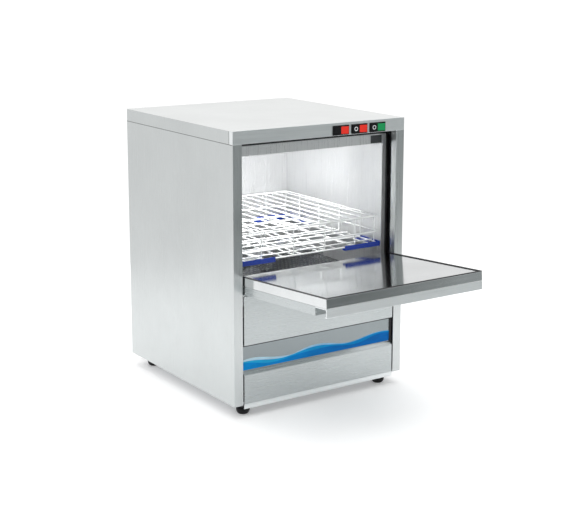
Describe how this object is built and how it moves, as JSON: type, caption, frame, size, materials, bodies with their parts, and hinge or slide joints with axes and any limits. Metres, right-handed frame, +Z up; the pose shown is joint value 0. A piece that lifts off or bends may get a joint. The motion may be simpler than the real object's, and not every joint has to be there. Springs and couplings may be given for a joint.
{
  "type": "commercial dishwasher",
  "caption": "Under-counter commercial dishwasher in brushed steel, drop-down door open, with a wire rack that slides out, spray arms, pump, boiler and rocker switches",
  "frame": {"origin": "on the floor, under the middle of the space the machine takes with its door open", "axes": "+X right seen from the front, +Y to the back, +Z up"},
  "size_m": [0.59, 1.0398, 0.815],
  "materials": {
    "cabinet_steel": "fine horizontal brushing, satin",
    "tub_steel": "bright rolled steel",
    "polished_steel": "polished",
    "seal_rubber": "matt",
    "black_plastic": "fine texture",
    "red_rocker": "translucent gloss",
    "green_rocker": "translucent gloss",
    "zinc_steel": "zinc plated",
    "decor_print": "printed film, satin",
    "white_wire": "smooth nylon coat",
    "blue_plastic": "moulded, soft gloss",
    "grey_plastic": "moulded",
    "motor_casting": "painted casting",
    "valve_brass": "satin"
  },
  "bodies": {
    "cabinet": {"arm_caps": "tub_steel", "arm_spindles": "tub_steel", "base_plate": "zinc_steel", "boiler_tank": "tub_steel", "cable_gland": "black_plastic", "control_box": "zinc_steel", "control_components": "black_plastic", "control_fascia": "cabinet_steel", "decor_strip": "decor_print", "door_sensor": "black_plastic", "drain_pipe": "grey_plastic", "feet": "black_plastic", "foot_studs": "zinc_steel", "front_lower_panel": "cabinet_steel", "front_upper_panel": "cabinet_steel", "heating_elements": "tub_steel", "hinge_brackets": "zinc_steel", "hinge_pins": "zinc_steel", "inlet_valve": "valve_brass", "left_side_panel": "cabinet_steel", "opening_seal": "seal_rubber", "panel_screws": "zinc_steel", "rack_rails": "tub_steel", "rear_panel": "cabinet_steel", "right_side_panel": "cabinet_steel", "rinse_aid_doser": "grey_plastic", "surface_filters": "tub_steel", "switch_housing_cycle": "black_plastic", "switch_housing_power": "black_plastic", "switch_housing_start": "black_plastic", "top_cover": "cabinet_steel", "tub_ceiling": "tub_steel", "tub_floor": "tub_steel", "tub_left_wall": "tub_steel", "tub_lintel": "tub_steel", "tub_rear_wall": "tub_steel", "tub_right_wall": "tub_steel", "tub_sill": "tub_steel", "wash_pipes": "grey_plastic", "wash_pump_housing": "grey_plastic", "wash_pump_motor": "motor_casting"},
    "door": {"door_inner_pan": "polished_steel", "door_outer_skin": "cabinet_steel", "door_handle": "cabinet_steel", "door_seal": "seal_rubber", "door_hinge_plates": "zinc_steel", "door_springs": "zinc_steel"},
    "rack": {"rack_frame": "white_wire", "rack_floor_grid": "white_wire", "rack_plate_rails": "white_wire", "rack_corner_runners": "blue_plastic"},
    "lower_wash": {"lower_wash_arm": "tub_steel"},
    "lower_rinse": {"lower_rinse_arm": "tub_steel"},
    "upper_wash": {"upper_wash_arm": "tub_steel"},
    "upper_rinse": {"upper_rinse_arm": "tub_steel"},
    "power_rocker": {"rocker_power": "red_rocker"},
    "cycle_rocker": {"rocker_cycle": "red_rocker"},
    "start_rocker": {"rocker_start": "green_rocker"},
    "impeller": {"pump_impeller": "grey_plastic"},
    "overflow": {"overflow_pipe": "tub_steel"}
  },
  "joints": [
    {"name": "door_hinge", "type": "hinge", "parent": "cabinet", "child": "door", "pos_m": [0, -0.11511, 0.367], "axis": [-1, 0, 0], "range_deg": [0, 86.2]},
    {"name": "rack_slide", "type": "slide", "parent": "cabinet", "child": "rack", "axis": [0, 1, 0], "range_m": [-0.268, 0]},
    {"name": "lower_wash_spin", "type": "hinge", "parent": "cabinet", "child": "lower_wash", "pos_m": [0, 0.18489, 0.379], "axis": [0, 0, 1], "continuous": true},
    {"name": "lower_rinse_spin", "type": "hinge", "parent": "cabinet", "child": "lower_rinse", "pos_m": [0, 0.18489, 0.401], "axis": [0, 0, 1], "continuous": true},
    {"name": "upper_wash_spin", "type": "hinge", "parent": "cabinet", "child": "upper_wash", "pos_m": [0, 0.18489, 0.729], "axis": [0, 0, 1], "continuous": true},
    {"name": "upper_rinse_spin", "type": "hinge", "parent": "cabinet", "child": "upper_rinse", "pos_m": [0, 0.18489, 0.711], "axis": [0, 0, 1], "continuous": true},
    {"name": "power_rock", "type": "hinge", "parent": "cabinet", "child": "power_rocker", "pos_m": [0.064, -0.11911, 0.793], "axis": [0, 0, 1], "range_deg": [0, 12]},
    {"name": "cycle_rock", "type": "hinge", "parent": "cabinet", "child": "cycle_rocker", "pos_m": [0.1295, -0.11911, 0.793], "axis": [0, 0, 1], "range_deg": [0, 12]},
    {"name": "start_rock", "type": "hinge", "parent": "cabinet", "child": "start_rocker", "pos_m": [0.195, -0.11911, 0.793], "axis": [0, 0, 1], "range_deg": [0, 12]},
    {"name": "impeller_spin", "type": "hinge", "parent": "cabinet", "child": "impeller", "pos_m": [0, 0.18489, 0.11], "axis": [1, 0, 0], "continuous": true},
    {"name": "overflow_lift", "type": "slide", "parent": "cabinet", "child": "overflow", "axis": [0, 0, 1], "range_m": [0, 0.06]}
  ]
}
